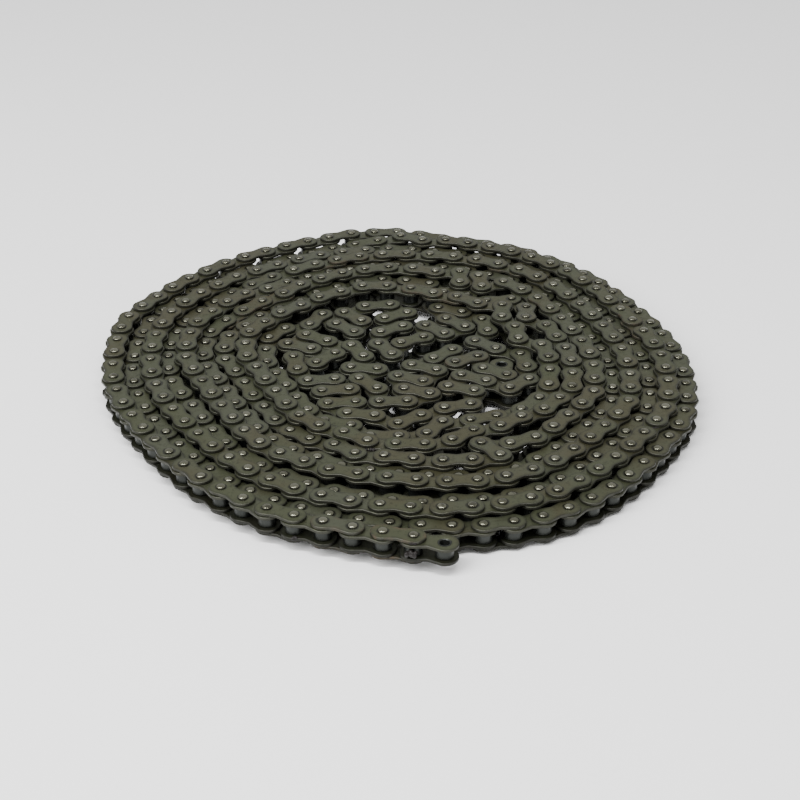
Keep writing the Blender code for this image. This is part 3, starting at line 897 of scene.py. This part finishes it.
def make_grease(name, chain, clumps, body, finish, seed):
    """Clumps of overlapping drops, run together into one skin."""
    drops = np.random.default_rng(seed)
    edit = bmesh.new()
    for pin, place, reach in clumps:
        middle = chain.pins[pin] + np.array(place) * 0.001
        for _ in range(DROPS_IN_CLUMP):
            shift = drops.uniform(-DROP_SPREAD, DROP_SPREAD, 3) * reach * np.array(0.001)
            radius = drops.uniform(*DROP_SIZES) * min(reach) * 0.001
            where = Matrix.Translation(Vector(middle + shift))
            bmesh.ops.create_icosphere(edit, subdivisions=2, radius=radius, matrix=where)
    mesh = bpy.data.meshes.new(name)
    edit.to_mesh(mesh)
    edit.free()
    rough = bpy.data.objects.new(name, mesh)
    bpy.context.scene.collection.objects.link(rough)
    skin = rough.modifiers.new("skin", "REMESH")
    skin.mode = "VOXEL"
    skin.voxel_size = GREASE_FINENESS
    smooth = rough.modifiers.new("smooth", "SMOOTH")
    smooth.iterations = 5
    bpy.context.view_layer.update()
    evaluated = rough.evaluated_get(bpy.context.evaluated_depsgraph_get())
    whole = bpy.data.meshes.new_from_object(evaluated)
    bpy.data.objects.remove(rough)
    whole.shade_smooth()
    whole.materials.append(finish)
    piece = bpy.data.objects.new(name, whole)
    bpy.context.scene.collection.objects.link(piece)
    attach(piece, body)


# Stage


def make_floor():
    edit = bmesh.new()
    bmesh.ops.create_grid(edit, x_segments=1, y_segments=1, size=6.0)
    mesh = bpy.data.meshes.new("floor")
    edit.to_mesh(mesh)
    edit.free()
    mesh.materials.append(floor_finish())
    floor = bpy.data.objects.new("floor", mesh)
    floor.location.z = -0.0002
    bpy.context.scene.collection.objects.link(floor)


def soft_light(name, place, aim, width, depth, power):
    lamp = bpy.data.lights.new(name, "AREA")
    lamp.shape = "RECTANGLE"
    lamp.size = width
    lamp.size_y = depth
    lamp.energy = power
    light = bpy.data.objects.new(name, lamp)
    light.location = place
    light.rotation_euler = (Vector(aim) - Vector(place)).to_track_quat("-Z", "Y").to_euler()
    bpy.context.scene.collection.objects.link(light)


def make_camera():
    lens = bpy.data.cameras.new("camera")
    lens.lens = CAMERA_LENS
    lens.clip_start = 0.01
    camera = bpy.data.objects.new("camera", lens)
    camera.location = CAMERA_AT
    toward = Vector(CAMERA_AIM) - Vector(CAMERA_AT)
    camera.rotation_euler = toward.to_track_quat("-Z", "Y").to_euler()
    bpy.context.scene.collection.objects.link(camera)
    bpy.context.scene.camera = camera


def make_world():
    world = bpy.data.worlds.new("studio")
    world.use_nodes = True
    backdrop = world.node_tree.nodes["Background"]
    backdrop.inputs["Color"].default_value = (1, 1, 1, 1)
    backdrop.inputs["Strength"].default_value = 0.79
    bpy.context.scene.world = world


make_camera()
make_world()
make_floor()
soft_light("strip above the front", (-0.1, -0.55, 1.25), (0, 0, 0), 1.3, 0.14, 23.5)
soft_light("softbox on the left", (-0.9, -0.8, 0.95), (0, 0, 0), 0.9, 0.9, 23.5)
PLATES_TREE = plates_tree()
TURNED_TREE = turned_tree()
make_chain(Chain())
